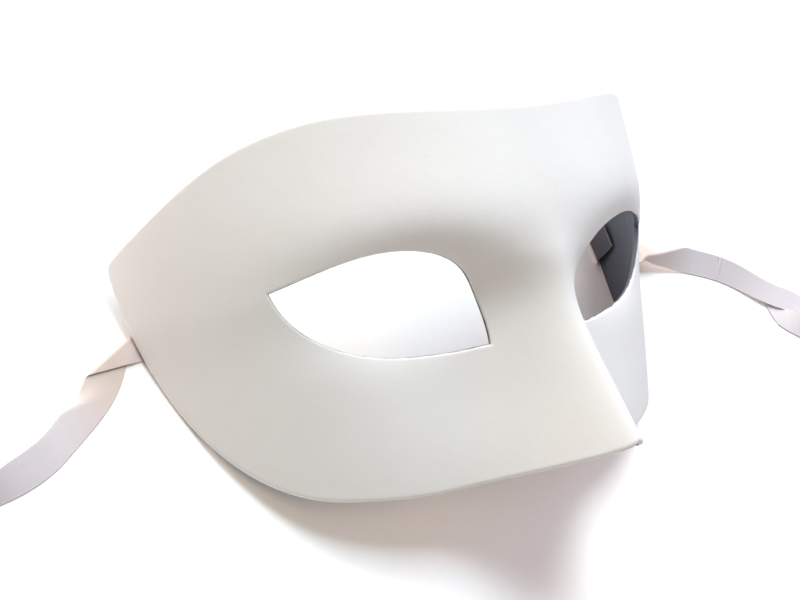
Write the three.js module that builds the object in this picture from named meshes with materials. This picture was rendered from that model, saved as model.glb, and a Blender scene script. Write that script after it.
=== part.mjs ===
// A half mask with two ribbons to tie it on, lying on its back as it does when nobody wears it.
// Millimetres, +Z up. The origin is on the ground under the middle of the mask.
//
// The mask is drawn in a frame of its own: s is the distance from its centreline along the
// skin, y goes up the face and z out of it. It is then leaned back into the pose it lies in.
import * as THREE from "three";
import { mergeVertices } from "three/addons/utils/BufferGeometryUtils.js";

// Wall and edges
const WALL = 1.5; // thickness of the moulded skin
const EDGE = WALL / 2; // radius of its rounded edges

// How the skin wraps round a head: the slope in degrees at 100 mm from the centreline
const WRAP_LINEAR = 32.5;
const WRAP_CUBIC = 39;
const REACH = 106; // from the centreline to the temple corner, along the skin

// How it curves from forehead to cheek
const FALL_SPLIT = 18; // height of its most forward level
const FALL_TOP = 2; // how far it has fallen back 27 mm above that level
const FALL_TOP_RUN = 27;
const FALL_BOTTOM = 4; // and 68 mm below it
const FALL_BOTTOM_RUN = 68;
const LEAN = -0.06;

// Brow ridge, eye socket and the hollow under the cheekbone: heights in mm out of the skin
const SOFTEN = 6; // rounds the two halves into each other across the centreline
const BROW = { rise: 5, y: 9.5, slope: -0.05, above: 20, below: 10.3, s: 22, width: 43 };
const SOCKET = { rise: -12, s: 34.5, y: 2, width: 20, height: 9 };
const CHEEK = { rise: -4, s: 26, y: -11, width: 24, height: 20 };

// Nose: a sharp ridge that grows from the root down to the tip
const NOSE_ROOT = 10; // height of the root
const NOSE_TIP = -34; // height of the tip
const NOSE_RISE = 21.9; // how far the tip stands out
const NOSE_WIDTH_ROOT = 15.5;
const NOSE_WIDTH_TIP = 27.5;
const NOSE_FLARE = 2.2; // how hollow its flanks are
const NOSE_RIDGE = 3.8; // roundness of the ridge
const NOSE_EASE = 0.13; // how gently it starts at the root

// Outline of one half as Bezier curves in (s, y), from the top centre to the nose tip
const PEAK = [0, 40];
const TEMPLE = [REACH, 14.5];
const TIP = [0, NOSE_TIP];
const HUMP = { at: [63.5, 39.5], run: [15, -3.5] };
const LOBE = { at: [60.5, -37.5], slope: 0.14, before: 21, after: 12.5 };
const TOP_CURVES = [
  [PEAK, [25, 40], less(HUMP.at, HUMP.run), HUMP.at],
  [HUMP.at, plus(HUMP.at, HUMP.run), [84.5, 32], TEMPLE],
];
const LOBE_RUN = unit([1, LOBE.slope]);
const SIDE_CURVES = [
  [TEMPLE, [99.5, -15], plus(LOBE.at, times(LOBE_RUN, LOBE.before)), LOBE.at],
  [LOBE.at, less(LOBE.at, times(LOBE_RUN, LOBE.after)), [21, -43], TIP],
];
const TEMPLE_ROUND = 2.4; // how far from the temple corner its rounding starts

// Outline of the eye hole, from the outer corner over the top to the inner one and back
const EYE_OUTER = [72.5, 6.5];
const EYE_INNER = [18, -10.5];
const EYE_TOP = { at: [37, 11], run: times(unit([1, 0.18]), 12) };
const EYE_BOTTOM = { at: [38, -10.5], slope: 0.06, inner: 12, outer: 11 };
const EYE_BOTTOM_RUN = unit([1, EYE_BOTTOM.slope]);
const EYE_UPPER_CURVES = [
  [EYE_OUTER, [57.5, 11], plus(EYE_TOP.at, EYE_TOP.run), EYE_TOP.at],
  [EYE_TOP.at, less(EYE_TOP.at, EYE_TOP.run), [17, 2], EYE_INNER],
];
const EYE_LOWER_CURVES = [
  [EYE_INNER, [25, -11], less(EYE_BOTTOM.at, times(EYE_BOTTOM_RUN, EYE_BOTTOM.inner)), EYE_BOTTOM.at],
  [EYE_BOTTOM.at, plus(EYE_BOTTOM.at, times(EYE_BOTTOM_RUN, EYE_BOTTOM.outer)), [68, -6.5], EYE_OUTER],
];

// Pose: the mask rocks back on its two side edges, which rest on the ground
const REST_TILT = 29.5; // degrees from face straight up, top towards the ground
const FLAT = 0.12; // depth of the small flat where each side edge rests

// Mesh density
const TOP_STEPS = 28;
const SIDE_STEPS = 32;
const MIDDLE_STEPS = 18;
const RINGS = 8; // from the outer edge to the eye hole
const EDGE_STEPS = 4; // round each edge

function plus(a, b) {
  return [a[0] + b[0], a[1] + b[1]];
}

function less(a, b) {
  return [a[0] - b[0], a[1] - b[1]];
}

function times(a, k) {
  return [a[0] * k, a[1] * k];
}

function unit(a) {
  return times(a, 1 / Math.hypot(a[0], a[1]));
}

function mix(a, b, t) {
  return [a[0] + (b[0] - a[0]) * t, a[1] + (b[1] - a[1]) * t];
}

function bell(x) {
  return Math.exp(-x * x);
}

// Angle that the skin has turned back at distance s from the centreline, in radians.
function wrapAngle(s) {
  const t = Math.abs(s) / 100;
  return Math.sign(s) * THREE.MathUtils.degToRad(WRAP_LINEAR * t + WRAP_CUBIC * t ** 3);
}

// Where the plain wrapped skin is at distance s: the sum of short steps along it.
function wrapPoint(s) {
  const steps = 32;
  const step = s / steps;
  let x = 0;
  let z = 0;
  for (let i = 0; i < steps; i++) {
    const angle = wrapAngle((i + 0.5) * step);
    x += Math.cos(angle) * step;
    z -= Math.sin(angle) * step;
  }
  return [x, z];
}

// How far the modelled face stands out of the plain wrapped skin.
function relief(s, y) {
  const a = Math.hypot(s, SOFTEN) - SOFTEN;
  const fromBrow = y - (BROW.y + BROW.slope * a);
  const browWidth = fromBrow > 0 ? BROW.above : BROW.below;
  let out = BROW.rise * bell(fromBrow / browWidth) * bell((a - BROW.s) / BROW.width);
  out += SOCKET.rise * bell((a - SOCKET.s) / SOCKET.width) * bell((y - SOCKET.y) / SOCKET.height);
  out += CHEEK.rise * bell((a - CHEEK.s) / CHEEK.width) * bell((y - CHEEK.y) / CHEEK.height);
  const down = (NOSE_ROOT - y) / (NOSE_ROOT - NOSE_TIP);
  const grown = (down + Math.hypot(down, NOSE_EASE)) / 2;
  const width = NOSE_WIDTH_ROOT + (NOSE_WIDTH_TIP - NOSE_WIDTH_ROOT) * grown;
  const side = Math.hypot(s, NOSE_RIDGE) - NOSE_RIDGE;
  out += NOSE_RISE * grown * Math.max(0, 1 - side / width) ** NOSE_FLARE;
  return out;
}

// The outer face of the mask at (s, y), before it is laid down.
function facePoint(s, y) {
  const above = Math.max(0, (y - FALL_SPLIT) / FALL_TOP_RUN);
  const below = Math.max(0, (FALL_SPLIT - y) / FALL_BOTTOM_RUN);
  const fall = LEAN * y - FALL_TOP * above ** 2 - FALL_BOTTOM * below ** 2;
  const [x, z] = wrapPoint(s);
  const angle = wrapAngle(s);
  const out = relief(s, y);
  return new THREE.Vector3(x + out * Math.sin(angle), y, z + fall + out * Math.cos(angle));
}

// Its outward direction, taken over a few millimetres so that the inside stays smooth.
function faceNormal(s, y) {
  const span = 4;
  const across = facePoint(s + span, y).sub(facePoint(s - span, y));
  const up = facePoint(s, y + span).sub(facePoint(s, y - span));
  return across.cross(up).normalize();
}

function bezierPoint(curve, t) {
  const [a, b, c, d] = curve;
  const ab = mix(a, b, t);
  const bc = mix(b, c, t);
  const cd = mix(c, d, t);
  return mix(mix(ab, bc, t), mix(bc, cd, t), t);
}

// A chain of Bezier curves as a fine polyline.
function polyline(curves) {
  const fine = 200;
  const points = [curves[0][0]];
  for (const curve of curves) {
    for (let i = 1; i <= fine; i++) points.push(bezierPoint(curve, i / fine));
  }
  return points;
}

// The same line as points an equal distance apart.
function spaced(line, steps) {
  const along = [0];
  for (let i = 1; i < line.length; i++) {
    along.push(along[i - 1] + Math.hypot(...less(line[i], line[i - 1])));
  }
  const total = along[along.length - 1];
  const points = [];
  let k = 0;
  for (let i = 0; i <= steps; i++) {
    const wanted = (total * i) / steps;
    while (k < line.length - 2 && along[k + 1] < wanted) k++;
    points.push(mix(line[k], line[k + 1], (wanted - along[k]) / (along[k + 1] - along[k])));
  }
  return points;
}

// Part of a polyline that lies further than a distance from one of its ends.
function trimmed(line, corner, distance) {
  return line.filter((p) => Math.hypot(...less(p, corner)) >= distance);
}

// The outline from the top centre round the temple to the nose tip, with the temple rounded.
function outerChain() {
  const top = trimmed(polyline(TOP_CURVES), TEMPLE, TEMPLE_ROUND);
  const side = trimmed(polyline(SIDE_CURVES), TEMPLE, TEMPLE_ROUND);
  const a = top[top.length - 1];
  const b = side[0];
  const round = [];
  for (let i = 1; i < 8; i++) round.push(mix(mix(a, TEMPLE, i / 8), mix(TEMPLE, b, i / 8), i / 8));
  const half = round.length >> 1;
  const upper = spaced([...top, ...round.slice(0, half + 1)], TOP_STEPS);
  const lower = spaced([...round.slice(half), ...side], SIDE_STEPS);
  return [...upper, ...lower.slice(1)];
}

// The eye hole, with the same number of points, each opposite its partner on the outline.
function eyeLoop() {
  const upper = polyline(EYE_UPPER_CURVES);
  const lower = polyline(EYE_LOWER_CURVES);
  const shoulder = upper.length - 90; // the point that faces the top centre of the mask
  const towardsOuter = spaced(upper.slice(0, shoulder).reverse(), TOP_STEPS);
  const towardsInner = spaced([...lower].reverse(), SIDE_STEPS);
  const inner = spaced(upper.slice(shoulder - 1).reverse(), MIDDLE_STEPS);
  return [...towardsOuter, ...towardsInner.slice(1), ...inner.slice(1, -1)];
}

// Direction that moves a point of a line to its left by one unit, mitred at corners.
function mitre(before, at, after) {
  const a = unit(less(at, before));
  const b = unit(less(after, at));
  const left = unit(plus([-a[1], a[0]], [-b[1], b[0]]));
  return times(left, 1 / Math.max(0.3, left[0] * -a[1] + left[1] * a[0]));
}

const mirrored = ([s, y]) => [-s, y];

// The outline moved inwards by a distance. It runs clockwise, so inwards is to its right.
function insetOuter(chain, distance) {
  const last = chain.length - 1;
  return chain.map((p, i) => {
    const before = i === 0 ? mirrored(chain[1]) : chain[i - 1];
    const after = i === last ? mirrored(chain[last - 1]) : chain[i + 1];
    return less(p, times(mitre(before, p, after), distance));
  });
}

// The eye hole moved outwards into the skin. It runs clockwise too, so that is to its left.
function outsetEye(loop, distance) {
  const n = loop.length;
  return loop.map((p, i) => plus(p, times(mitre(loop[(i + n - 1) % n], p, loop[(i + 1) % n]), distance)));
}

// All points of one half of the skin: rings from the outline to the eye hole on both faces, and
// the points round both rounded edges.
function halfSkin() {
  const outline = outerChain();
  const inset = insetOuter(outline, EDGE);
  const eye = eyeLoop();
  const eyeBase = outsetEye(eye, EDGE);
  const chainEnd = inset.length - 1;
  const border = [...inset];
  for (let i = 1; i < MIDDLE_STEPS; i++) {
    border.push(mix(inset[chainEnd], inset[0], i / MIDDLE_STEPS));
  }
  const front = [];
  const back = [];
  for (let r = 0; r <= RINGS; r++) {
    const ring = border.map((p, i) => mix(p, eyeBase[i], ringShare(r / RINGS)));
    front.push(ring.map(([s, y]) => facePoint(s, y)));
    back.push(ring.map(([s, y]) => insidePoint(s, y, WALL)));
  }
  const roundEdge = (base, lip) => base.map(([s, y], i) => edgePoints([s, y], lip[i]));
  return { front, back, outer: roundEdge(inset, outline), eye: roundEdge(eyeBase, eye), chainEnd };
}

// Rings crowd towards both edges, where the skin bends most.
function ringShare(t) {
  return 0.45 * t + 0.55 * t * t * (3 - 2 * t);
}

// A point below the outer face by a depth.
function insidePoint(s, y, depth) {
  return facePoint(s, y).addScaledVector(faceNormal(s, y), -depth);
}

// Points round an edge, from the outer face to the inner one.
function edgePoints(base, lip) {
  const middle = insidePoint(...base, EDGE);
  const outwards = insidePoint(...lip, EDGE).sub(middle);
  const normal = faceNormal(...base);
  const points = [];
  for (let j = 1; j < EDGE_STEPS; j++) {
    const angle = (Math.PI * j) / EDGE_STEPS;
    points.push(
      middle.clone()
        .addScaledVector(normal, EDGE * Math.cos(angle))
        .addScaledVector(outwards, Math.sin(angle)),
    );
  }
  return points;
}

// The closed skin of both halves, before it is laid down.
function maskSkin() {
  const half = halfSkin();
  const count = half.front[0].length;
  const vertices = [];
  const faces = [];
  const centre = new Map(); // vertices on the centreline belong to both halves
  for (const side of [1, -1]) {
    const made = new Map();
    const onCentre = (name) => {
      const [kind, a, b] = name.split(" ");
      if (kind === "outer") return Number(a) === 0 || Number(a) === half.chainEnd;
      return (kind === "front" || kind === "back") && a === "0" && (b === "0" || Number(b) >= half.chainEnd);
    };
    const vertex = (name, point) => {
      const known = onCentre(name) ? centre : made;
      if (!known.has(name)) {
        known.set(name, vertices.length);
        vertices.push(new THREE.Vector3(onCentre(name) ? 0 : point.x * side, point.y, point.z));
      }
      return known.get(name);
    };
    const quad = (a, b, c, d) => {
      const corners = side > 0 ? [a, b, c, d] : [d, c, b, a];
      faces.push([corners[0], corners[1], corners[2]], [corners[0], corners[2], corners[3]]);
    };
    const onFront = (r, i) => vertex(`front ${r} ${i % count}`, half.front[r][i % count]);
    const onBack = (r, i) => vertex(`back ${r} ${i % count}`, half.back[r][i % count]);
    for (let r = 0; r < RINGS; r++) {
      for (let i = 0; i < count; i++) {
        quad(onFront(r, i), onFront(r + 1, i), onFront(r + 1, i + 1), onFront(r, i + 1));
        quad(onBack(r, i + 1), onBack(r + 1, i + 1), onBack(r + 1, i), onBack(r, i));
      }
    }
    // Column i of a rounded edge runs from the outer face over the edge to the inner face.
    const column = (kind, ring, i, n) => [
      onFront(ring, i),
      ...half[kind][i % n].map((point, j) => vertex(`${kind} ${i % n} ${j}`, point)),
      onBack(ring, i),
    ];
    for (let i = 0; i < half.chainEnd; i++) {
      const a = column("outer", 0, i, count);
      const b = column("outer", 0, i + 1, count);
      for (let j = 0; j < EDGE_STEPS; j++) quad(a[j], b[j], b[j + 1], a[j + 1]);
    }
    for (let i = 0; i < count; i++) {
      const a = column("eye", RINGS, i, count);
      const b = column("eye", RINGS, i + 1, count);
      for (let j = 0; j < EDGE_STEPS; j++) quad(b[j], a[j], a[j + 1], b[j + 1]);
    }
  }
  return { vertices, faces };
}

// Leans the skin back, rests it on the ground with a small flat under each side edge, and
// centres it over the origin.
function layDown(vertices) {
  const tilt = THREE.MathUtils.degToRad(REST_TILT);
  for (const v of vertices) v.applyAxisAngle(new THREE.Vector3(1, 0, 0), tilt);
  const box = new THREE.Box3().setFromPoints(vertices);
  const shift = new THREE.Vector3(0, -(box.min.y + box.max.y) / 2, -box.min.z - FLAT);
  for (const v of vertices) {
    v.add(shift);
    v.z = Math.max(0, v.z);
  }
}

function closedGeometry(vertices, faces) {
  const geometry = new THREE.BufferGeometry();
  geometry.setAttribute("position", new THREE.Float32BufferAttribute(vertices.flatMap((v) => v.toArray()), 3));
  geometry.setIndex(faces.flat());
  geometry.computeVertexNormals();
  return geometry;
}

function piece(name, geometry, look) {
  const mesh = new THREE.Mesh(geometry, new THREE.MeshStandardMaterial(look));
  mesh.name = name;
  return mesh;
}

// Ribbons: each is glued inside by its side edge, comes down the wall, passes under the edge
// and lies on the ground. A route point is [x, y, lift, bank]: lift is the clear height under the
// ribbon's lower edge, and bank turns it about its length, its left edge up where positive.
const RIBBON_WIDTH = 7;
const RIBBON_THICKNESS = 0.2;
const RIBBON_CLEARANCE = 0.02;
const LEFT_ROUTE = [
  [-80.3, 18.95, 9, 0],
  [-81.5, 18.8, 6, 0],
  [-82.3, 18.68, 2.6, 0],
  [-82.7, 18.62, 1, 0],
  [-83.4, 18.5, 0.15, 0],
  [-84.6, 18.35, 0, 0],
  [-89.7, 18, 0, 0],
  [-95, 13, 0, 0],
  [-102, 8, 0, -7],
  [-110, 3.7, 0, -16],
  [-118, -0.3, 0, -23],
  [-127, -3.1, 0, -30],
  [-136, -5.2, 0, -58],
  [-143.8, -7.1, 0, -90],
];
const RIGHT_ROUTE = [
  [80.1, 19.3, 9, 0],
  [81.3, 19.05, 6, 0],
  [82.15, 18.85, 2.6, 0],
  [82.6, 18.75, 1, 0],
  [83.4, 18.6, 0.15, 0],
  [84.7, 18.25, 0, 0],
  [90, 16.5, 0, 0],
  [97.4, 14.3, 3.8, 48],
  [104, 13.1, 2.6, 52],
  [110.6, 12, 1.5, 46],
  [119.1, 10.4, 0.3, 37],
  [130, 7.4, 0, 31],
  [139.7, 3.3, 0.1, 30],
  [148.2, -1.9, 0.5, 22],
  [156.5, -6.6, 1.1, 13],
  [168.5, -11.4, 1.4, 1],
  [180, -16, 1, -46],
];

// The part that is put away: the left ribbon in a round coil, standing on its edge, the right
// one in an open loop that brings its cut end back under its own start.
const COIL_ENTRY = [-155, -9.75]; // where the left ribbon meets the coil
const COIL_HEADING = THREE.MathUtils.degToRad(193.5); // its direction there; the coil turns right
const COIL_RADIUS = 35.5; // where it starts
const COIL_PITCH = 1; // how much tighter it gets in a turn
const COIL_TURNS = 0.83;
const COIL_ROOM = 0.6; // that the ring leaves on both sides of it
const COIL_CENTRE = plus(COIL_ENTRY, times([Math.sin(COIL_HEADING), -Math.cos(COIL_HEADING)], COIL_RADIUS));
const LOOP_CENTRE = [180.8, -42.7];
const LOOP_RADIUS = 24.5;
const LOOP_START = 68; // degrees round the loop's centre, running clockwise
const LOOP_SWEEP = 278;
const LOOP_POINTS = 12;
const RIGHT_END = [
  [162.4, -24.6, 0, -80],
  [162.3, -18.6, 0, -45],
  [158.4, -14.9, 0, -18],
  [154.2, -11, 0, -6],
  [151, -6, 0, 0],
];

function loopRoute() {
  const points = [];
  for (let i = 0; i < LOOP_POINTS; i++) {
    const angle = THREE.MathUtils.degToRad(LOOP_START - (LOOP_SWEEP * i) / (LOOP_POINTS - 1));
    const x = LOOP_CENTRE[0] + LOOP_RADIUS * Math.cos(angle);
    const y = LOOP_CENTRE[1] + LOOP_RADIUS * Math.sin(angle);
    points.push([x, y, 0, -90]);
  }
  return points;
}

// Height of the ribbon's middle above the ground, with its lower edge at the lift.
function ribbonHeight(lift, bank) {
  const tilt = THREE.MathUtils.degToRad(bank);
  const half = RIBBON_WIDTH / 2 * Math.abs(Math.sin(tilt)) + RIBBON_THICKNESS / 2 * Math.cos(tilt);
  return RIBBON_CLEARANCE + lift + half;
}

// A flat strip that follows a route, as one closed solid.
function ribbonGeometry(route, stepsPerPoint) {
  const line = new THREE.CatmullRomCurve3(
    route.map(([x, y, lift, bank]) => new THREE.Vector3(x, y, ribbonHeight(lift, bank))),
    false,
    "centripetal",
  );
  const count = (route.length - 1) * stepsPerPoint;
  const vertices = [];
  const faces = [];
  for (let i = 0; i <= count; i++) {
    const along = i / count;
    const before = Math.min(route.length - 2, Math.floor(i / stepsPerPoint));
    const bank = THREE.MathUtils.lerp(route[before][3], route[before + 1][3], i / stepsPerPoint - before);
    const heading = line.getTangent(along);
    const left = new THREE.Vector3(-heading.y, heading.x, 0).normalize();
    left.applyAxisAngle(heading, THREE.MathUtils.degToRad(bank));
    const up = heading.clone().cross(left);
    const middle = line.getPoint(along);
    for (const [w, t] of [[1, 1], [-1, 1], [-1, -1], [1, -1]]) {
      const corner = middle.clone()
        .addScaledVector(left, (w * RIBBON_WIDTH) / 2)
        .addScaledVector(up, (t * RIBBON_THICKNESS) / 2);
      corner.z = Math.max(RIBBON_CLEARANCE, corner.z);
      vertices.push(corner);
    }
  }
  // Both faces are cut along the same diagonal, so that the strip keeps its thickness in a twist.
  const sides = [
    [0, 1, 5, 4],
    [1, 2, 6, 5],
    [3, 7, 6, 2],
    [3, 0, 4, 7],
  ];
  for (let i = 0; i < count; i++) {
    for (const [a, b, c, d] of sides.map((side) => side.map((corner) => corner + 4 * i))) {
      faces.push([a, b, c], [a, c, d]);
    }
  }
  const end = 4 * count;
  faces.push([0, 2, 1], [0, 3, 2], [end, end + 1, end + 2], [end, end + 2, end + 3]);
  return closedGeometry(vertices, faces);
}

// The space that the coil takes up: a ring as high as the ribbon is wide.
function coilGeometry() {
  const inner = COIL_RADIUS - COIL_PITCH * COIL_TURNS - COIL_ROOM;
  const outer = COIL_RADIUS + COIL_ROOM;
  const bottom = RIBBON_CLEARANCE;
  const top = bottom + RIBBON_WIDTH;
  const section = [
    [inner, bottom],
    [outer, bottom],
    [outer, top],
    [inner, top],
    [inner, bottom],
  ];
  const ring = new THREE.LatheGeometry(section.map(([r, h]) => new THREE.Vector2(r, h)), 40);
  ring.rotateX(Math.PI / 2); // the lathe turns about Y
  ring.deleteAttribute("normal");
  ring.deleteAttribute("uv");
  return mergeVertices(ring);
}

const PAINTED_WHITE = { color: 0xe9e6e1, roughness: 0.6, metalness: 0 };
const SATIN = { color: 0xe0d6da, roughness: 0.45, metalness: 0 };

const mask = new THREE.Group();
const skin = maskSkin();
layDown(skin.vertices);
mask.add(piece("mask_shell", closedGeometry(skin.vertices, skin.faces), PAINTED_WHITE));
mask.add(piece("ribbon_left", ribbonGeometry(LEFT_ROUTE, 3), SATIN));
const coil = piece("ribbon_left_coil", coilGeometry(), SATIN);
coil.position.set(COIL_CENTRE[0], COIL_CENTRE[1], 0);
mask.add(coil);
mask.add(piece("ribbon_right", ribbonGeometry([...RIGHT_ROUTE, ...loopRoute(), ...RIGHT_END], 2), SATIN));

export default mask;
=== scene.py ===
import math

import bpy
import numpy as np
from mathutils import Matrix, Vector


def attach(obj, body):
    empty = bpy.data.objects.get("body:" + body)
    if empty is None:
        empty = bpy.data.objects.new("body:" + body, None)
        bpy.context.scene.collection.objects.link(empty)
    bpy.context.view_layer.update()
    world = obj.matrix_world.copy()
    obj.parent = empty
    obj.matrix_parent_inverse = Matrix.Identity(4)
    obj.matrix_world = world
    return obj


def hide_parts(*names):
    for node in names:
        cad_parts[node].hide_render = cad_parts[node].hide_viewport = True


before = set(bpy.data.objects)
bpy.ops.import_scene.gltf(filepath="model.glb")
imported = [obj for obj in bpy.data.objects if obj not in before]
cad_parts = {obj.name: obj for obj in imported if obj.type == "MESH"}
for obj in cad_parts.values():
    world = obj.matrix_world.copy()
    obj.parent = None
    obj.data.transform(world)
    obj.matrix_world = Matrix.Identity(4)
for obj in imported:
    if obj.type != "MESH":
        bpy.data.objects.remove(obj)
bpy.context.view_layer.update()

# A half mask with two ribbons, lying on its back. Shapes are worked out in millimetres in the
# part's own frame, and MM turns them into metres. On the skin of the mask a place is (s, y): s is
# the distance from the centreline, measured along the skin, and y the height up the face.
MM = 0.001

# Camera: the photograph's viewing angle on the mask as it lies
CAMERA_AT = (-356.09, -87.14, 275.68)
CAMERA_AIM = (-25.96, 8.86, 20.0)
CAMERA_ROLL = 52.48  # degrees, against the clock, from level
CAMERA_LENS = 89.0  # for a sensor 36 mm wide
SENSOR = 36.0
CAMERA_CLIP = 0.01  # metres

# Wall and edges of the shell
WALL = 1.5
EDGE = WALL / 2  # radius of its rounded edges
EYE_PAINT = 0.5  # below 1, the dark paint comes further round the eye holes' edges
OUTLINE_PAINT = 2  # above 1, it stops sooner on the outline's edge
NORMAL_SPAN = 4.0  # over which the skin's direction is taken, so that the inside stays smooth
MITRE_LIMIT = 0.3  # keeps sharp corners from running away when a line is moved sideways

# How the skin wraps round a head: the two terms of its slope, in degrees at WRAP_AT
WRAP_AT = 100
WRAP_LINEAR = 32.5
WRAP_CUBIC = 39
WRAP_STEPS = 32  # short steps that a place on it is the sum of
REACH = 106  # how far out the temple's corner is

# How it curves from forehead to cheek: how far it has fallen back after each run, and a lean
FALL_SPLIT = 18  # height up the face from which both runs are measured
FALL_TOP = 2
FALL_TOP_RUN = 27
FALL_BOTTOM = 4
FALL_BOTTOM_RUN = 68
LEAN = -0.06

# Brow ridge, eye socket and the hollow under the cheekbone
SOFTEN = 6  # rounds them off where both halves meet
BROW = {"rise": 5, "y": 9.5, "slope": -0.05, "above": 20, "below": 10.3, "s": 22, "width": 43}
SOCKET = {"rise": -12, "s": 34.5, "y": 2, "width": 20, "height": 9}
CHEEK = {"rise": -4, "s": 26, "y": -11, "width": 24, "height": 20}

# Nose: a sharp ridge that grows from the root down to the tip
NOSE_ROOT = 10
NOSE_TIP = -34
NOSE_RISE = 21.9
NOSE_WIDTH_ROOT = 15.5
NOSE_WIDTH_TIP = 27.5
NOSE_FLARE = 2.2  # above 1, its sides are hollow
NOSE_RIDGE = 3.8  # rounds the ridge off
NOSE_EASE = 0.13  # how gently it starts at the root

# Outline of one half as Bezier curves, from the top centre to the nose tip. A RUN is how far a
# handle is from its point.
PEAK = (0, 40)
PEAK_HANDLE = (25, 40)
HUMP_AT = (63.5, 39.5)
HUMP_RUN = (15, -3.5)
TEMPLE = (REACH, 14.5)
TEMPLE_HANDLE_ABOVE = (84.5, 32)
TEMPLE_HANDLE_BELOW = (99.5, -15)
TEMPLE_ROUND = 2.4
TEMPLE_STEPS = 24  # round its corner
LOBE_AT = (60.5, -37.5)
LOBE_SLOPE = 0.14
LOBE_RUN_BEFORE = 21
LOBE_RUN_AFTER = 12.5
TIP = (0, NOSE_TIP)
TIP_HANDLE = (21, -43)

# Outline of the eye hole, from the outer corner over the top to the inner one and back
EYE_OUTER = (72.5, 6.5)
EYE_OUTER_HANDLE_ABOVE = (57.5, 11)
EYE_OUTER_HANDLE_BELOW = (68, -6.5)
EYE_INNER = (18, -10.5)
EYE_INNER_HANDLE_ABOVE = (17, 2)
EYE_INNER_HANDLE_BELOW = (25, -11)
EYE_TOP = (37, 11)
EYE_TOP_SLOPE = 0.18
EYE_TOP_RUN = 12
EYE_BOTTOM = (38, -10.5)
EYE_BOTTOM_SLOPE = 0.06
EYE_BOTTOM_RUN_INNER = 12
EYE_BOTTOM_RUN_OUTER = 11
EYE_SHOULDER = 0.775  # share of its upper line's points before the one that faces the top centre

# Pose
REST_TILT = 29.5  # degrees that the face leans back
FLAT = 0.12  # depth of the flats that it rests on

# Mesh density of the shell
TOP_STEPS = 96  # along the outline, from the top centre to the temple
SIDE_STEPS = 112  # and on to the nose tip
MIDDLE_STEPS = 56  # up the centreline
RINGS = 48  # from the outline to the eye hole
EDGE_STEPS = 8  # round an edge
BEZIER_STEPS = 400  # along each curve before it is divided again
EVEN = 0.45  # share of even steps where steps are drawn together towards both ends

# Ribbons: the left one is the near one in the photograph, and the right one the far one
RIBBON_WIDTH = 7.0
RIBBON_THICKNESS = 0.2
RIBBON_CLEARANCE = 0.02
RIBBON_STEP = 1.0  # along its length
FOLD_STEP = 0.5  # along its length where it is folded
SWEEP_STEP = 0.25  # along its route
RIBBON_COLUMNS = 28
GLUED_END = 8.6  # the end that is painted over with the inside
LEFT_PAINTED_SHADE = 46  # how far along each ribbon the painted shade darkens the cloth
RIGHT_PAINTED_SHADE = 54

# Colours and roughness, in pairs where a finish is mottled between two
SHELL_WHITE = [(0.80, 0.785, 0.765), (0.835, 0.825, 0.81)]
SHELL_DARK = [(0.042, 0.05, 0.068), (0.063, 0.073, 0.098)]
SHELL_ROUGHNESS = [(0.52,) * 3, (0.62,) * 3]
SATIN = [(0.73, 0.675, 0.705), (0.765, 0.715, 0.742)]
SELVEDGE = (0.79, 0.755, 0.77)
# Painted shade on the outermost thread of each ribbon edge
OUTERMOST_THREAD_SHADE = (0.4, 0.37, 0.4)
# Colour of the painted shade on each ribbon near the mask
PAINTED_SHADE_COLOUR = (0.57, 0.475, 0.42)
PAINTED_END = (0.045, 0.05, 0.062)
PAPER = [(0.94,) * 3, (0.96,) * 3]
MOTTLE = (0.3, 0.7)  # the range of a noise over which a pair is mixed
BLACK = (0, 0, 0)
WHITE = (1, 1, 1)

# Lines and threads of the finishes; a line is where a change starts and is full
PAINT_LINE = (0.42, 0.62)  # of the dark paint, between 0 outside and 1 inside
PAINT_WANDER = 0.3
RIBS = 20  # across the ribbon, to each of its widths along it
WARP = 42  # finer threads along it, side by side
WARP_HEIGHT = 0.6  # against the ribs
STREAK_STRETCH = (16, 0.3, 1)
UV_LAYER = "UVMap"
SELVEDGE_LINE = (0.435, 0.46)  # from the middle, in widths, as is the next
# Where the painted shade on the outermost thread starts and is full
OUTERMOST_SHADE_LINE = (0.484, 0.494)
PAINTED_SHADE_LEVELS = [(0.22, (0.5,) * 3), (0.4, WHITE), (0.58, (0.85,) * 3), (1, BLACK)]  # how strongly the painted shade is mixed in, along its reach
END_RAGGED = 0.1  # how unevenly the painted end stops, in widths, as is the next
END_LINE = (0, 0.05)

# Lights: name, azimuth and elevation in degrees as seen from the mask, watts and colour
LIGHTS = [
    ("low", 110, 12, 8.6, (1, 0.78, 0.7)),
    ("high", 85, 55, 9.6, (0.8, 0.93, 1)),
    ("back", 57, 35, 3.8, (1, 0.96, 0.86)),
    ("front", 225, 65, 1.7, (1, 0.76, 0.5)),
    ("side", 0, 35, 1.8, (0.44, 0.5, 1)),
]
LIGHT_AIM = (0, 0, 0.03)  # metres, as are the next two
LIGHT_DISTANCE = 1.0
LIGHT_SIZE = 0.55
SKY = (0.26, 0.25, 0.24)
FLOOR_REACH = 3.0  # metres
FLOOR_DEPTH = 2e-5  # metres below the ground, so that nothing that lies on it flickers


def unit(a):
    return np.asarray(a, float) / np.linalg.norm(a)


def plus(a, b, k=1.0):
    return (a[0] + b[0] * k, a[1] + b[1] * k)


def bell(x):
    return np.exp(-x * x)


def smooth(x):
    """0 below 0, 1 above 1 and an even curve between."""
    t = np.clip(x, 0, 1)
    return t * t * (3 - 2 * t)


def crowd(t):
    """Even steps from 0 to 1 drawn together towards both ends."""
    return EVEN * t + (1 - EVEN) * t * t * (3 - 2 * t)


def distances(points):
    """How far along a line each of its points is."""
    return np.concatenate([[0], np.cumsum(np.linalg.norm(np.diff(points, axis=0), axis=1))])


# The shell's surface


def wrap_angle(s):
    """Angle that the skin has turned back at distance s from the centreline, in radians."""
    t = np.abs(s) / WRAP_AT
    return np.sign(s) * np.radians(WRAP_LINEAR * t + WRAP_CUBIC * t**3)


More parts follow.
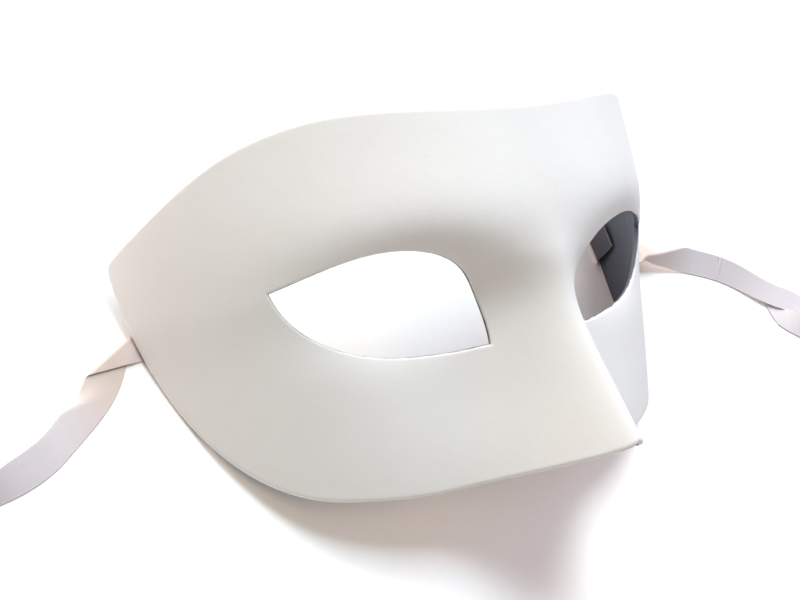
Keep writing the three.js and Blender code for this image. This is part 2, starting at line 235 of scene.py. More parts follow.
def wrap_point(s):
    """Where the plain wrapped skin is at distance s: the sum of short steps along it."""
    step = s / WRAP_STEPS
    x = np.zeros_like(s)
    z = np.zeros_like(s)
    for i in range(WRAP_STEPS):
        angle = wrap_angle((i + 0.5) * step)
        x += np.cos(angle) * step
        z -= np.sin(angle) * step
    return x, z


def nose(s, y):
    """How far the nose alone stands out."""
    down = (NOSE_ROOT - y) / (NOSE_ROOT - NOSE_TIP)
    grown = (down + np.hypot(down, NOSE_EASE)) / 2
    width = NOSE_WIDTH_ROOT + (NOSE_WIDTH_TIP - NOSE_WIDTH_ROOT) * grown
    side = np.hypot(s, NOSE_RIDGE) - NOSE_RIDGE
    return NOSE_RISE * grown * np.clip(1 - side / width, 0, None) ** NOSE_FLARE


def relief(s, y):
    """How far the modelled face stands out of the plain wrapped skin."""
    a = np.hypot(s, SOFTEN) - SOFTEN
    from_brow = y - (BROW["y"] + BROW["slope"] * a)
    brow_width = np.where(from_brow > 0, BROW["above"], BROW["below"])
    out = BROW["rise"] * bell(from_brow / brow_width) * bell((a - BROW["s"]) / BROW["width"])
    for dip in (SOCKET, CHEEK):
        out += dip["rise"] * bell((a - dip["s"]) / dip["width"]) * bell((y - dip["y"]) / dip["height"])
    return out + nose(s, y)


def face_point(p):
    """The outer face of the mask at the points p, an array of (s, y), before it is laid down."""
    s, y = p[..., 0], p[..., 1]
    above = np.clip((y - FALL_SPLIT) / FALL_TOP_RUN, 0, None)
    below = np.clip((FALL_SPLIT - y) / FALL_BOTTOM_RUN, 0, None)
    fall = LEAN * y - FALL_TOP * above**2 - FALL_BOTTOM * below**2
    x, z = wrap_point(s)
    angle = wrap_angle(s)
    out = relief(s, y)
    return np.stack([x + out * np.sin(angle), y, z + fall + out * np.cos(angle)], axis=-1)


def face_normal(p):
    """Its outward direction."""
    along = np.array([NORMAL_SPAN, 0])
    up = np.array([0, NORMAL_SPAN])
    n = np.cross(face_point(p + along) - face_point(p - along), face_point(p + up) - face_point(p - up))
    return n / np.linalg.norm(n, axis=-1, keepdims=True)


def inside_point(p, depth):
    return face_point(p) - depth * face_normal(p)


# The shell's outlines


def bezier(a, b, c, d):
    t = np.linspace(0, 1, BEZIER_STEPS + 1)[:, None]
    a, b, c, d = (np.array(point, float) for point in (a, b, c, d))
    return a * (1 - t) ** 3 + 3 * b * t * (1 - t) ** 2 + 3 * c * t**2 * (1 - t) + d * t**3


def spaced(line, steps):
    """The same line as points that stand closer together near its ends."""
    along = distances(line)
    wanted = crowd(np.linspace(0, 1, steps + 1)) * along[-1]
    return np.stack([np.interp(wanted, along, line[:, k]) for k in range(2)], axis=1)


def trimmed(line, corner, distance):
    return line[np.linalg.norm(line - corner, axis=1) >= distance]


def outer_chain():
    """The outline from the top centre round the temple to the nose tip."""
    hump_before = plus(HUMP_AT, HUMP_RUN, -1)
    hump_after = plus(HUMP_AT, HUMP_RUN)
    lobe_run = unit((1, LOBE_SLOPE))
    lobe_before = plus(LOBE_AT, lobe_run, LOBE_RUN_BEFORE)
    lobe_after = plus(LOBE_AT, lobe_run, -LOBE_RUN_AFTER)
    top = np.vstack([
        bezier(PEAK, PEAK_HANDLE, hump_before, HUMP_AT),
        bezier(HUMP_AT, hump_after, TEMPLE_HANDLE_ABOVE, TEMPLE)[1:],
    ])
    side = np.vstack([
        bezier(TEMPLE, TEMPLE_HANDLE_BELOW, lobe_before, LOBE_AT),
        bezier(LOBE_AT, lobe_after, TIP_HANDLE, TIP)[1:],
    ])
    corner = np.array(TEMPLE, float)
    top = trimmed(top, corner, TEMPLE_ROUND)
    side = trimmed(side, corner, TEMPLE_ROUND)
    t = np.linspace(0, 1, TEMPLE_STEPS + 1)[:, None]
    round_part = top[-1] * (1 - t) ** 2 + 2 * corner * t * (1 - t) + side[0] * t**2
    half = TEMPLE_STEPS // 2
    upper = spaced(np.vstack([top, round_part[1 : half + 1]]), TOP_STEPS)
    lower = spaced(np.vstack([round_part[half:-1], side]), SIDE_STEPS)
    return np.vstack([upper, lower[1:]])


def eye_loop():
    """The eye hole as points, each of them opposite its partner on the outline and centreline."""
    top_run = unit((1, EYE_TOP_SLOPE)) * EYE_TOP_RUN
    bottom_run = unit((1, EYE_BOTTOM_SLOPE))
    bottom_inner = plus(EYE_BOTTOM, bottom_run, -EYE_BOTTOM_RUN_INNER)
    bottom_outer = plus(EYE_BOTTOM, bottom_run, EYE_BOTTOM_RUN_OUTER)
    upper = np.vstack([
        bezier(EYE_OUTER, EYE_OUTER_HANDLE_ABOVE, plus(EYE_TOP, top_run), EYE_TOP),
        bezier(EYE_TOP, plus(EYE_TOP, top_run, -1), EYE_INNER_HANDLE_ABOVE, EYE_INNER)[1:],
    ])
    lower = np.vstack([
        bezier(EYE_INNER, EYE_INNER_HANDLE_BELOW, bottom_inner, EYE_BOTTOM),
        bezier(EYE_BOTTOM, bottom_outer, EYE_OUTER_HANDLE_BELOW, EYE_OUTER)[1:],
    ])
    shoulder = round(len(upper) * EYE_SHOULDER)
    to_outer = spaced(upper[:shoulder][::-1], TOP_STEPS)
    to_inner = spaced(lower[::-1], SIDE_STEPS)
    to_shoulder = spaced(upper[shoulder - 1 :][::-1], MIDDLE_STEPS)
    return np.vstack([to_outer, to_inner[1:], to_shoulder[1:-1]])


def mitre(before, at, after):
    """Direction that moves a point of a line to its left by one unit, mitred at corners."""
    a = at - before
    b = after - at
    a = a / np.linalg.norm(a, axis=1, keepdims=True)
    b = b / np.linalg.norm(b, axis=1, keepdims=True)
    left_a = np.stack([-a[:, 1], a[:, 0]], axis=1)
    left_b = np.stack([-b[:, 1], b[:, 0]], axis=1)
    left = left_a + left_b
    left = left / np.linalg.norm(left, axis=1, keepdims=True)
    return left / np.clip((left * left_a).sum(1, keepdims=True), MITRE_LIMIT, None)


# The shell's mesh


def half_skin():
    """One half as four grids of points: the front and back faces, and both rounded edges.

    The faces are rings that run from the outline and centreline to the eye hole."""
    outline = outer_chain()
    mirror = np.array([-1, 1])
    before = np.vstack([outline[1] * mirror, outline[:-1]])
    after = np.vstack([outline[1:], outline[-2] * mirror])
    inset = outline - EDGE * mitre(before, outline, after)
    eye = eye_loop()
    eye_base = eye + EDGE * mitre(np.roll(eye, 1, axis=0), eye, np.roll(eye, -1, axis=0))
    t = np.linspace(0, 1, MIDDLE_STEPS + 1)[1:-1, None]
    border = np.vstack([inset, inset[-1] * (1 - t) + inset[0] * t])
    share = crowd(np.linspace(0, 1, RINGS + 1))[:, None, None]
    rings = border * (1 - share) + eye_base * share
    front = face_point(rings)
    back = inside_point(rings, WALL)
    return front, back, edge_points(inset, outline), edge_points(eye_base, eye)


def edge_points(base, lip):
    """Points round an edge, from the outer face to the inner one, without both ends."""
    middle = inside_point(base, EDGE)
    outwards = inside_point(lip, EDGE) - middle
    normal = face_normal(base)
    angle = np.pi * np.arange(1, EDGE_STEPS)[:, None, None] / EDGE_STEPS
    return middle + EDGE * np.cos(angle) * normal + np.sin(angle) * outwards


def numbered(grids):
    """The vertex numbers of each grid of points when the grids follow one another."""
    numbers = []
    start = 0
    for grid in grids:
        count = grid.shape[0] * grid.shape[1]
        numbers.append(start + np.arange(count).reshape(grid.shape[:2]))
        start += count
    return numbers


def grid_faces(rows, closed):
    """Quads between neighbouring rows of vertex numbers, each row a line of the same length."""
    faces = []
    for a, b in zip(rows[:-1], rows[1:]):
        nexts = zip(np.roll(a, -1), np.roll(b, -1))
        quads = [(i, j, l, k) for i, j, (k, l) in zip(a, b, nexts)]
        faces += quads if closed else quads[:-1]
    return faces


def half_mesh():
    """One half's vertices, faces, how far inside each vertex is, and which are on the centreline."""
    grids = half_skin()
    front, back, outer, eye = numbered(grids)
    points = np.vstack([grid.reshape(-1, 3) for grid in grids])
    count = front.shape[1]
    chain = outer.shape[1]
    faces = grid_faces(front, True)
    faces += grid_faces(back[::-1], True)
    faces += grid_faces([back[0, :chain], *outer[::-1], front[0, :chain]], False)
    faces += grid_faces([front[-1], *eye, back[-1]], True)
    steps = np.arange(1, EDGE_STEPS) / EDGE_STEPS
    inside = np.concatenate([
        np.zeros(front.size),
        np.ones(back.size),
        np.repeat(steps**OUTLINE_PAINT, chain),
        np.repeat(steps**EYE_PAINT, count),
    ])
    centre = np.concatenate([np.arange(chain, count), [0, chain - 1]])
    on_centre = np.concatenate([front[0, centre], back[0, centre], outer[:, [0, -1]].ravel()])
    return points, faces, inside, on_centre


def shell_mesh():
    """The closed skin of both halves as vertices, faces and how far inside each vertex is."""
    points, faces, inside, on_centre = half_mesh()
    points[on_centre, 0] = 0
    other = points * np.array([-1, 1, 1])
    number = len(points) + np.arange(len(points))
    number[on_centre] = on_centre
    mirrored = [tuple(int(number[i]) for i in face[::-1]) for face in faces]
    return np.vstack([points, other]), faces + mirrored, np.concatenate([inside, inside])


def lay_down(points):
    """Leans the shell back, rests it on its two flats and centres it over the origin."""
    tilt = math.radians(REST_TILT)
    y = points[:, 1] * math.cos(tilt) - points[:, 2] * math.sin(tilt)
    z = points[:, 1] * math.sin(tilt) + points[:, 2] * math.cos(tilt)
    y -= (y.min() + y.max()) / 2
    z = np.clip(z - z.min() - FLAT, 0, None)
    return np.stack([points[:, 0], y, z], axis=1)


def add_to_scene(name, data):
    thing = bpy.data.objects.new(name, data)
    bpy.context.scene.collection.objects.link(thing)
    return thing


def new_piece(name, points, faces, material):
    """A smooth-shaded mesh object from points in millimetres, and which points it uses."""
    used, faces = np.unique(np.array(faces), return_inverse=True)
    faces = faces.reshape(-1, 4)
    mesh = bpy.data.meshes.new(name)
    mesh.from_pydata((points[used] * MM).tolist(), [], faces.tolist())
    mesh.shade_smooth()
    mesh.materials.append(material)
    return add_to_scene(name, mesh), used


def point_values(piece, name, values):
    """Gives each point of a piece a value that its material can read."""
    attribute = piece.data.attributes.new(name, "FLOAT", "POINT")
    attribute.data.foreach_set("value", values)


# Materials


class Finish:
    """A new material with short ways to add the nodes that it is mixed from."""

    def __init__(self, name):
        self.material = bpy.data.materials.new(name)
        self.material.use_nodes = True
        self.nodes = self.material.node_tree.nodes
        self.links = self.material.node_tree.links
        self.sockets = self.nodes["Principled BSDF"].inputs

    def plain(self, values):
        """Sets sockets of the shader to values that are the same all over."""
        for name, value in values.items():
            self.sockets[name].default_value = value

    def drive(self, name, output):
        """Lets a node's output set a socket of the shader."""
        self.links.new(output, self.sockets[name])

    def place(self):
        return self.nodes.new("ShaderNodeTexCoord").outputs["Object"]

    def uv(self):
        node = self.nodes.new("ShaderNodeUVMap")
        node.uv_map = UV_LAYER
        return node.outputs["UV"]

    def attribute(self, name):
        node = self.nodes.new("ShaderNodeAttribute")
        node.attribute_name = name
        return node.outputs["Fac"]

    def noise(self, place, scale, detail, roughness=0.5):
        node = self.nodes.new("ShaderNodeTexNoise")
        node.inputs["Scale"].default_value = scale
        node.inputs["Detail"].default_value = detail
        node.inputs["Roughness"].default_value = roughness
        self.links.new(place, node.inputs["Vector"])
        return node.outputs["Fac"]

    def ramp(self, value, stops):
        node = self.nodes.new("ShaderNodeValToRGB")
        elements = node.color_ramp.elements
        while len(elements) < len(stops):
            elements.new(0.5)
        for element, (position, colour) in zip(elements, stops):
            element.position = position
            element.color = (*colour, 1)
        self.links.new(value, node.inputs["Fac"])
        return node.outputs["Color"]

    def mottled(self, value, pair):
        return self.ramp(value, list(zip(MOTTLE, pair)))

    def beyond(self, value, line):
        """Black before a line and white past it. A line is where the change starts and is full."""
        return self.ramp(value, list(zip(line, (BLACK, WHITE))))

    def maths(self, operation, a, b=0):
        node = self.nodes.new("ShaderNodeMath")
        node.operation = operation
        for socket, value in zip(node.inputs, (a, b)):
            if isinstance(value, (int, float)):
                socket.default_value = value
            else:
                self.links.new(value, socket)
        return node.outputs["Value"]

    def mix(self, factor, a, b):
        """Colours mixed by a factor, each a node's output or plain."""
        node = self.nodes.new("ShaderNodeMix")
        node.data_type = "RGBA"
        self.links.new(factor, node.inputs["Factor"])
        for socket, colour in ((node.inputs["A"], a), (node.inputs["B"], b)):
            if isinstance(colour, tuple):
                socket.default_value = (*colour, 1)
            else:
                self.links.new(colour, socket)
        return node.outputs["Result"]

    def bump(self, height, distance, strength, below=None):
        node = self.nodes.new("ShaderNodeBump")
        node.inputs["Distance"].default_value = distance
        node.inputs["Strength"].default_value = strength
        self.links.new(height, node.inputs["Height"])
        if below is not None:
            self.links.new(below, node.inputs["Normal"])
        return node.outputs["Normal"]


def shell_material():
    """Matte white outside with a faint grain, dark slate grey inside, parted by a soft line."""
    paint = Finish("mask_paint")
    place = paint.place()
    grain = paint.noise(place, scale=1400, detail=3, roughness=0.55)
    ripple = paint.noise(place, scale=260, detail=2)
    cloud = paint.noise(place, scale=35, detail=3)
    white = paint.mottled(cloud, SHELL_WHITE)
    dark = paint.mottled(cloud, SHELL_DARK)
    wander = paint.maths("MULTIPLY", paint.maths("SUBTRACT", ripple, 0.5), PAINT_WANDER)
    depth = paint.maths("ADD", paint.attribute("inside"), wander)
    painted = paint.beyond(depth, PAINT_LINE)
    paint.drive("Base Color", paint.mix(painted, white, dark))
    paint.drive("Roughness", paint.mottled(grain, SHELL_ROUGHNESS))
    paint.plain({"Specular IOR Level": 0.35})
    fine = paint.bump(grain, distance=0.00012, strength=0.25)
    paint.drive("Normal", paint.bump(ripple, distance=0.0004, strength=0.16, below=fine))
    return paint.material


def weave(cloth, across, along):
    """Height of the threads: ribs across the ribbon and a finer warp along it."""
    ribs = cloth.maths("SINE", cloth.maths("MULTIPLY", along, 2 * math.pi * RIBS))
    warp = cloth.maths("SINE", cloth.maths("MULTIPLY", across, 2 * math.pi * WARP))
    return cloth.maths("ADD", ribs, cloth.maths("MULTIPLY", warp, WARP_HEIGHT))


def bare_satin(cloth, across, streak):
    """Its colour with a light selvedge along both sides and painted shade on the outermost thread."""
    side = cloth.maths("ABSOLUTE", cloth.maths("SUBTRACT", across, 0.5))
    body = cloth.mottled(streak, SATIN)
    woven = cloth.mix(cloth.beyond(side, SELVEDGE_LINE), body, SELVEDGE)
    # Painted shade on the outermost thread
    return cloth.mix(cloth.beyond(side, OUTERMOST_SHADE_LINE), woven, OUTERMOST_THREAD_SHADE)


def satin_material():
    """Pinkish white woven satin, with painted shade near the end at the mask, and that end painted over."""
    cloth = Finish("ribbon_satin")
    uv = cloth.uv()
    parts = cloth.nodes.new("ShaderNodeSeparateXYZ")
    cloth.links.new(uv, parts.inputs["Vector"])
    across, along = parts.outputs["X"], parts.outputs["Y"]
    stretched = cloth.nodes.new("ShaderNodeMapping")
    stretched.inputs["Scale"].default_value = STREAK_STRETCH
    cloth.links.new(uv, stretched.inputs["Vector"])
    streak = cloth.noise(stretched.outputs["Vector"], scale=3, detail=4)
    satin = bare_satin(cloth, across, streak)
    # Painted shade, mixed in near the mask along each ribbon's reach
    shaded_satin = cloth.mix(cloth.ramp(cloth.attribute("painted_shade"), PAINTED_SHADE_LEVELS), satin, PAINTED_SHADE_COLOUR)
    ragged = cloth.maths("ADD", along, cloth.maths("MULTIPLY", streak, END_RAGGED))
    past_end = cloth.maths("SUBTRACT", ragged, GLUED_END / RIBBON_WIDTH)
    cloth.drive("Base Color", cloth.mix(cloth.beyond(past_end, END_LINE), PAINTED_END, shaded_satin))
    cloth.plain({"Roughness": 0.5, "Specular IOR Level": 0.25, "Sheen Weight": 0.15, "Sheen Roughness": 0.4})
    threads = weave(cloth, across, along)
    cloth.drive("Normal", cloth.bump(threads, distance=0.00004, strength=0.35))
    return cloth.material


def floor_material():
    """Plain white paper with the faintest grain."""
    paper = Finish("floor_paper")
    grain = paper.noise(paper.place(), scale=400, detail=2)
    paper.drive("Base Color", paper.mottled(grain, PAPER))
    paper.plain({"Roughness": 0.9})
    return paper.material


# Routes of the ribbons: (x, y) of the middle, height of the lowest edge and bank in degrees

LEFT_WALL = [
    (-80.3, 18.95, 9, 0),
    (-81.5, 18.8, 6, 0),
    (-82.3, 18.68, 2.6, 0),
    (-82.7, 18.62, 1, 0),
    (-83.4, 18.5, 0.15, 0),
    (-84.6, 18.35, 0, 0),
]
LEFT_FOLD = (-89.7, 18)
LEFT_AFTER = [
    (-95, 13, 0, 0),
    (-102, 8, 0, -7),
    (-110, 3.7, 0, -16),
    (-118, -0.3, 0, -23),
    (-127, -3.1, 0, -30),
    (-136, -5.2, 0, -58),
    (-143.8, -7.1, 0, -90),
]
RIGHT_ROUTE = [
    (80.1, 19.3, 9, 0),
    (81.3, 19.05, 6, 0),
    (82.15, 18.85, 2.6, 0),
    (82.6, 18.75, 1, 0),
    (83.4, 18.6, 0.15, 0),
    (84.7, 18.25, 0, 0),
    (90, 16.5, 0, 0),
    (97.4, 14.3, 3.8, 48),
    (104, 13.1, 2.6, 52),
    (110.6, 12, 1.5, 46),
    (119.1, 10.4, 0.3, 37),
    (130, 7.4, 0, 31),
    (139.7, 3.3, 0.1, 30),
    (148.2, -1.9, 0.5, 22),
    (156.5, -6.6, 1.1, 13),
    (168.5, -11.4, 1.4, 1),
    (180, -16, 1, -46),
]
RIGHT_END = [
    (162.4, -24.6, 0, -80),
    (162.3, -18.6, 0, -45),
    (158.4, -14.9, 0, -18),
    (154.2, -11, 0, -6),
    (151, -6, 0, 0),
]
ON_EDGE = -90  # bank of a ribbon that stands on its edge

# The left ribbon's crease, where it turns over
FOLD_LINE = math.radians(202.5)  # direction of the crease on the ground
FOLD_HALF = math.radians(20)  # half the turn that the ribbon makes there
FOLD_ROLL = 0.2  # radius of the crease
FOLD_SHIFT = math.pi / 2 * FOLD_ROLL  # how far both layers are moved apart by the roll
FOLD_SETTLE = 3  # over which the upper layer comes down past the lower one
FOLD_STARTS = 8  # how far before the crease the folded shape starts to take over
FOLD_RUN = 3  # and over what run it does
ROUTE_STARTS = 2  # how far past the crease the route starts to take over from it
ROUTE_RUN = 12
FINE_BEFORE = 9  # how far before the crease fine steps start
FINE_AFTER = 20  # and how far past it they end
CARRIED_ON = 14  # how far past the crease the stretch from the wall is worked out
CARRIED_BACK = (20, 8)  # how far before it the stretch that follows is, as two points

# The left ribbon's coil, which is put away
COIL_ENTRY = (-155, -9.75)
COIL_HEADING = math.radians(193.5)
COIL_RADIUS = 35.5
COIL_PITCH = 1
COIL_TURNS = 0.83
COIL_POINTS = 24  # to a turn

# The right ribbon's slanting crease and small pinched fold, in distances along it
BEND_START = 24.3  # where the crease starts at its lower edge
BEND_END = 49  # and where it runs out at the upper one
BEND_RUN = 6  # over which the ribbon takes up the bend before that
BEND_ANGLE = math.radians(78)  # how far the cloth above the crease is bent back
PINCH_AT = 66
PINCH_HEIGHT = 0.35
PINCH_WIDTH = 0.6
PINCH_STEP = PINCH_WIDTH / 3
PINCH_REACH = 3  # to either side of it, where steps are that fine

# The right ribbon's loop, which is put away, and its cut end, which comes back under it
LOOP_CENTRE = (180.8, -42.7)
LOOP_RADIUS = 24.5
LOOP_START = 68  # degrees
LOOP_SWEEP = 278
LOOP_POINTS = 12
END_SLANT = 7.5  # how much further the cut end reaches on its hidden side
END_CURVE = 1.8  # above 1, the cut is bowed
END_RUN = 12  # the last stretch, which the slanted cut draws out


def on_circle(centre, radius, angle):
    """A route point on a circle, where the ribbon stands on its edge."""
    return (centre[0] + radius * math.cos(angle), centre[1] + radius * math.sin(angle), 0, ON_EDGE)


def coil_route():
    """The part of the left ribbon that is put away: most of a turn to the right."""
    centre = plus(COIL_ENTRY, (math.sin(COIL_HEADING), -math.cos(COIL_HEADING)), COIL_RADIUS)
    points = []
    for i in range(round(COIL_POINTS * COIL_TURNS) + 1):
        turned = i / COIL_POINTS
        angle = COIL_HEADING + math.pi / 2 - 2 * math.pi * turned
        points.append(on_circle(centre, COIL_RADIUS - COIL_PITCH * turned, angle))
    return points


def loop_route():
    points = []
    for i in range(LOOP_POINTS):
        angle = math.radians(LOOP_START - LOOP_SWEEP * i / (LOOP_POINTS - 1))
        points.append(on_circle(LOOP_CENTRE, LOOP_RADIUS, angle))
    return points


def ahead(point, heading, distance):
    """The flat route point at a distance from another."""
    return (point[0] + distance * math.cos(heading), point[1] + distance * math.sin(heading), 0, 0)


def spline(knots, values, at):
    """A natural cubic spline through rows of values at the knots."""
    last = len(knots) - 1
    gap = np.diff(knots)[:, None]
    slope = np.diff(values, axis=0) / gap
    system = np.eye(last + 1)
    right = np.zeros_like(values)
    for i in range(1, last):
        system[i, i - 1 : i + 2] = (gap[i - 1, 0], 2 * (gap[i - 1, 0] + gap[i, 0]), gap[i, 0])
        right[i] = 6 * (slope[i] - slope[i - 1])
    bend = np.linalg.solve(system, right)
    k = np.clip(np.searchsorted(knots, at) - 1, 0, last - 1)
    gone = (at - knots[k])[:, None]
    rest = (knots[k + 1] - at)[:, None]
    step = gap[k]
    return (
        bend[k] * rest**3 / (6 * step)
        + bend[k + 1] * gone**3 / (6 * step)
        + (values[k] / step - bend[k] * step / 6) * rest
        + (values[k + 1] / step - bend[k + 1] * step / 6) * gone
    )


def swept(route):
    """Short steps along a route: how far along each is, its place, and the ribbon's left and up."""
    values = np.array(route, float)
    knots = distances(values[:, :3])
    at = np.linspace(0, knots[-1], int(knots[-1] / SWEEP_STEP) + 1)
    x, y, lift, bank = spline(knots, values, at).T
    bank = np.radians(bank)
    half = RIBBON_WIDTH / 2 * np.abs(np.sin(bank)) + RIBBON_THICKNESS / 2 * np.cos(bank)
    place = np.stack([x, y, RIBBON_CLEARANCE + np.clip(lift, 0, None) + half], axis=1)
    heading = np.gradient(place, axis=0)
    heading /= np.linalg.norm(heading, axis=1, keepdims=True)
    level = np.stack([-heading[:, 1], heading[:, 0], np.zeros(len(at))], axis=1)
    level /= np.linalg.norm(level, axis=1, keepdims=True)
    raised = np.cross(heading, level)
    left = level * np.cos(bank)[:, None] + raised * np.sin(bank)[:, None]
    return distances(place), place, left, np.cross(heading, left)


def read_off(at, vectors, along):
    """Rows of vectors, known at distances, at other distances along."""
    return np.stack([np.interp(along, at, vectors[:, k]) for k in range(3)], axis=-1)


def on_sweep(sweep, along, across):
    """Points of the ribbon's middle surface at arrays of distances along and across."""
    at, place, left, _ = sweep
    side = read_off(at, left, along)
    side /= np.linalg.norm(side, axis=-1, keepdims=True)
    return read_off(at, place, along) + side * across[..., None]


def distance_to(sweep, point):
    """How far along its route a ribbon passes nearest to a point of the ground."""
    at, place = sweep[:2]
    return at[np.argmin(np.linalg.norm(place[:, :2] - np.array(point), axis=1))]


def columns():
    """Places across the ribbon, closer together towards its edges."""
    return (crowd(np.linspace(0, 1, RIBBON_COLUMNS + 1)) - 0.5) * RIBBON_WIDTH


def ribbon_faces(rows, cols):
    """Quads of a closed ribbon whose points are its upper grid and then its lower one."""
    upper = np.arange(rows * cols).reshape(rows, cols)
    lower = upper + rows * cols
    belt = np.hstack([upper, lower[:, ::-1]])  # once round the section
    faces = grid_faces(list(belt[::-1]), True)
    last = 2 * cols - 1
    for is_end, row in ((False, belt[0]), (True, belt[-1])):
        cap = [(row[k], row[k + 1], row[last - 1 - k], row[last - k]) for k in range(cols - 1)]
        faces += [quad[::-1] for quad in cap] if is_end else cap
    return faces


def ribbon_piece(name, surface, along, painted_shade, material):
    """A thin closed ribbon round the grid of points surface[along, across]."""
    rows, cols = surface.shape[:2]
    normal = np.cross(np.gradient(surface, axis=0), np.gradient(surface, axis=1))
    normal /= np.linalg.norm(normal, axis=-1, keepdims=True)
    upper = surface + normal * RIBBON_THICKNESS / 2
    lower = surface - normal * RIBBON_THICKNESS / 2
    points = np.vstack([upper.reshape(-1, 3), lower.reshape(-1, 3)])
    points[:, 2] = np.clip(points[:, 2], RIBBON_CLEARANCE, None)
    piece, used = new_piece(name, points, ribbon_faces(rows, cols), material)
    across = (columns() / RIBBON_WIDTH + 0.5)[None, :].repeat(rows, 0)
    length = (np.asarray(along) / RIBBON_WIDTH)[:, None].repeat(cols, 1)
    u = np.concatenate([across.ravel(), across.ravel()])[used]
    v = np.concatenate([length.ravel(), length.ravel()])[used]
    corners = np.zeros(len(piece.data.loops), np.int32)
    piece.data.loops.foreach_get("vertex_index", corners)
    layer = piece.data.uv_layers.new(name=UV_LAYER)
    layer.data.foreach_set("uv", np.stack([u[corners], v[corners]], axis=1).ravel())
    # How far along the reach of its painted shade each point is
    point_values(piece, "painted_shade", v * RIBBON_WIDTH / painted_shade)
    return piece


# The left ribbon


def crease_axes():
    """Directions on the ground along its crease and square to it."""
    line = np.array([math.cos(FOLD_LINE), math.sin(FOLD_LINE)])
    return line, np.array([line[1], -line[0]])


def folded(corner, along, across):
    """A flat ribbon turned over along a slanting crease, the part before it lying on top.

    along is 0 where the middle of the ribbon meets the crease at corner."""
    line, beside = crease_axes()
    on_line = along * math.cos(FOLD_HALF) + across * math.sin(FOLD_HALF)
    beyond = along * math.sin(FOLD_HALF) - across * math.cos(FOLD_HALF)
    turned = np.clip(beyond / FOLD_ROLL, 0, math.pi)
    past = np.clip(beyond - math.pi * FOLD_ROLL, 0, None)
    sideways = np.minimum(beyond, 0) + FOLD_ROLL * np.sin(turned) - past
    reach = (RIBBON_WIDTH / 2 + on_line * math.sin(FOLD_HALF)) / math.cos(FOLD_HALF)
    held = 1 - smooth((-beyond - reach + math.pi * FOLD_ROLL) / FOLD_SETTLE)
    height = FOLD_ROLL * (1 + np.cos(turned)) * held
    ground = corner + on_line[..., None] * line + sideways[..., None] * beside
    low = RIBBON_CLEARANCE + RIBBON_THICKNESS / 2
    return np.concatenate([ground, (low + height)[..., None]], axis=-1)


class LeftRibbon:
    """Down the wall and under the rim, turned over at its crease, and then along its route."""

    def __init__(self):
        _, beside = crease_axes()
        self.corner = np.array(LEFT_FOLD) - beside * FOLD_SHIFT
        lower = np.array(LEFT_FOLD) + beside * FOLD_SHIFT
        into, out = FOLD_LINE - FOLD_HALF, FOLD_LINE + FOLD_HALF
        carried = ahead(self.corner, into, CARRIED_ON)
        self.before = swept([*LEFT_WALL, (*self.corner, 0, 0), carried])
        start = [ahead(lower, out, -distance) for distance in CARRIED_BACK]
        self.after = swept([*start, (*lower, 0, 0), *LEFT_AFTER, *coil_route()])
        self.crease = distance_to(self.before, self.corner)
        self.restart = distance_to(self.after, lower)
        self.length = self.crease + self.after[0][-1] - self.restart

    def surface(self, along, across):
        on_wall = on_sweep(self.before, along, across)
        past = along - self.crease
        flat = folded(self.corner, past, across)
        laid = on_sweep(self.after, past + self.restart, -across)
        done = (math.pi * FOLD_ROLL + across * math.cos(FOLD_HALF)) / math.sin(FOLD_HALF)
        to_fold = smooth((past + FOLD_STARTS) / FOLD_RUN)[..., None]
        to_route = smooth((past - done - ROUTE_STARTS) / ROUTE_RUN)[..., None]
        surface = on_wall * (1 - to_fold) + flat * to_fold
        return surface * (1 - to_route) + laid * to_route

    def steps(self):
        """Distances along it, closer together where it is folded."""
        fine_from = self.crease - FINE_BEFORE
        before = np.arange(0, fine_from, RIBBON_STEP)
        fine = np.arange(fine_from, self.crease + FINE_AFTER, FOLD_STEP)
        count = int((self.length - fine[-1]) / RIBBON_STEP)
        return np.concatenate([before, fine, np.linspace(fine[-1], self.length, count)[1:]])


def left_ribbon(name, material):
    ribbon = LeftRibbon()
    steps = ribbon.steps()
    surface = ribbon.surface(*np.meshgrid(steps, columns(), indexing="ij"))
    path = surface[:, RIBBON_COLUMNS // 2]
    return ribbon_piece(name, surface, steps, LEFT_PAINTED_SHADE, material), path


# The right ribbon


def right_surface(sweep, along, across):
    """Bent back above a crease that slants across it near the mask, and pinched further on."""
    at, _, _, up = sweep
    crossed = np.clip((along - BEND_START) / (BEND_END - BEND_START), 0, 1)
    crease = RIBBON_WIDTH * (crossed - 0.5)
    bend = BEND_ANGLE * smooth((along - BEND_START + BEND_RUN) / BEND_RUN)
    above = np.maximum(across - crease, 0)
    surface = on_sweep(sweep, along, np.minimum(across, crease) + above * np.cos(bend))
    pinch = PINCH_HEIGHT * bell((along - PINCH_AT) / PINCH_WIDTH) * smooth(0.5 + across / RIBBON_WIDTH)
    return surface + (pinch - above * np.sin(bend))[..., None] * read_off(at, up, along)


def right_ribbon(name, material):
    sweep = swept([*RIGHT_ROUTE, *loop_route(), *RIGHT_END])
    length = sweep[0][-1]
    even = np.linspace(0, length, int(length / RIBBON_STEP) + 1)
    fine = np.arange(PINCH_AT - PINCH_REACH, PINCH_AT + PINCH_REACH, PINCH_STEP)
    steps = np.unique(np.concatenate([even, fine]))
    along, across = np.meshgrid(steps, columns(), indexing="ij")
    hidden = 0.5 - across / RIBBON_WIDTH
    drawn = smooth((along - length + END_RUN) / END_RUN)
    cut = along - END_SLANT * drawn * (1 - hidden) ** END_CURVE
    surface = right_surface(sweep, cut, across)
    path = surface[:, RIBBON_COLUMNS // 2]
    return ribbon_piece(name, surface, steps, RIGHT_PAINTED_SHADE, material), path


# Scene


def length_of(path):
    return float(distances(path)[-1])


def declare_ribbon(piece, path, *nodes):
    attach(piece, "root")
    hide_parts(*nodes)
    print(piece.name, "is", round(length_of(path)), "mm long")


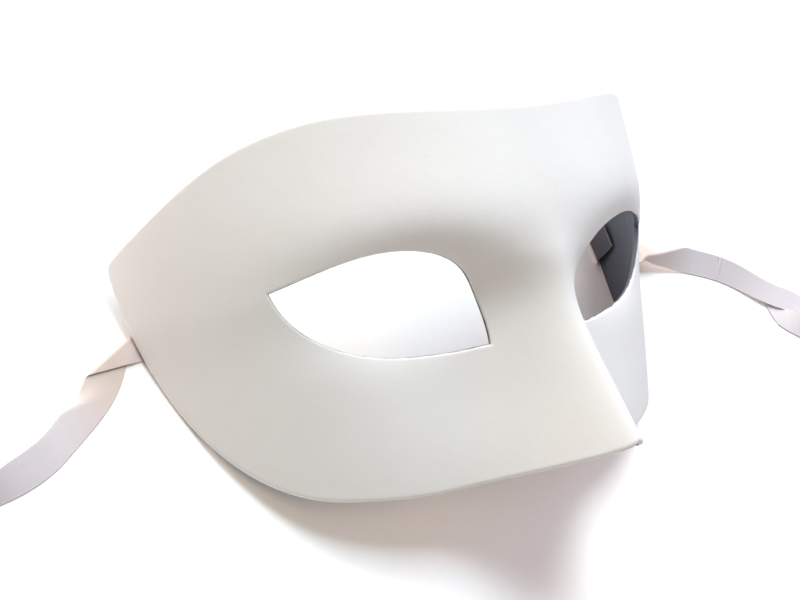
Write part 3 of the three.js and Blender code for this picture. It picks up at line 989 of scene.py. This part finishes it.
def make_camera():
    data = bpy.data.cameras.new("camera")
    data.sensor_width = SENSOR
    data.lens = CAMERA_LENS
    data.clip_start = CAMERA_CLIP
    camera = add_to_scene("camera", data)
    bpy.context.scene.camera = camera
    at = Vector(CAMERA_AT) * MM
    towards = Vector(CAMERA_AIM) * MM - at
    level = towards.to_track_quat("-Z", "Y").to_matrix().to_4x4()
    roll = Matrix.Rotation(math.radians(CAMERA_ROLL), 4, "Z")
    camera.matrix_world = Matrix.Translation(at) @ level @ roll


def make_ribbons():
    satin = satin_material()
    declare_ribbon(*left_ribbon("ribbon_left_satin", satin), "ribbon_left", "ribbon_left_coil")
    declare_ribbon(*right_ribbon("ribbon_right_satin", satin), "ribbon_right")


def make_shell():
    points, faces, inside = shell_mesh()
    shell, used = new_piece("mask_skin", lay_down(points), faces, shell_material())
    point_values(shell, "inside", inside[used])
    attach(shell, "root")
    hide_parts("mask_shell")


def make_floor():
    corners = [(-1, -1), (1, -1), (1, 1), (-1, 1)]
    points = [(x * FLOOR_REACH, y * FLOOR_REACH, -FLOOR_DEPTH) for x, y in corners]
    mesh = bpy.data.meshes.new("floor")
    mesh.from_pydata(points, [], [(0, 1, 2, 3)])
    mesh.materials.append(floor_material())
    floor = add_to_scene("floor", mesh)


def make_sky():
    world = bpy.data.worlds.new("world")
    bpy.context.scene.world = world
    world.use_nodes = True
    world.node_tree.nodes["Background"].inputs["Color"].default_value = (*SKY, 1)
    world.node_tree.nodes["Background"].inputs["Strength"].default_value = 1


def soft_light(name, azimuth, elevation, power, colour):
    data = bpy.data.lights.new(name, "AREA")
    data.shape = "SQUARE"
    data.size = LIGHT_SIZE
    data.energy = power
    data.color = colour
    light = add_to_scene(name, data)
    turn = math.radians(azimuth)
    rise = math.radians(elevation)
    level = math.cos(rise)
    towards = Vector((math.cos(turn) * level, math.sin(turn) * level, math.sin(rise)))
    light.location = Vector(LIGHT_AIM) + towards * LIGHT_DISTANCE
    light.rotation_euler = (-towards).to_track_quat("-Z", "Y").to_euler()


make_camera()
make_ribbons()
make_shell()
make_floor()
make_sky()
for light in LIGHTS:
    soft_light(*light)
bpy.context.scene.view_settings.view_transform = "Standard"
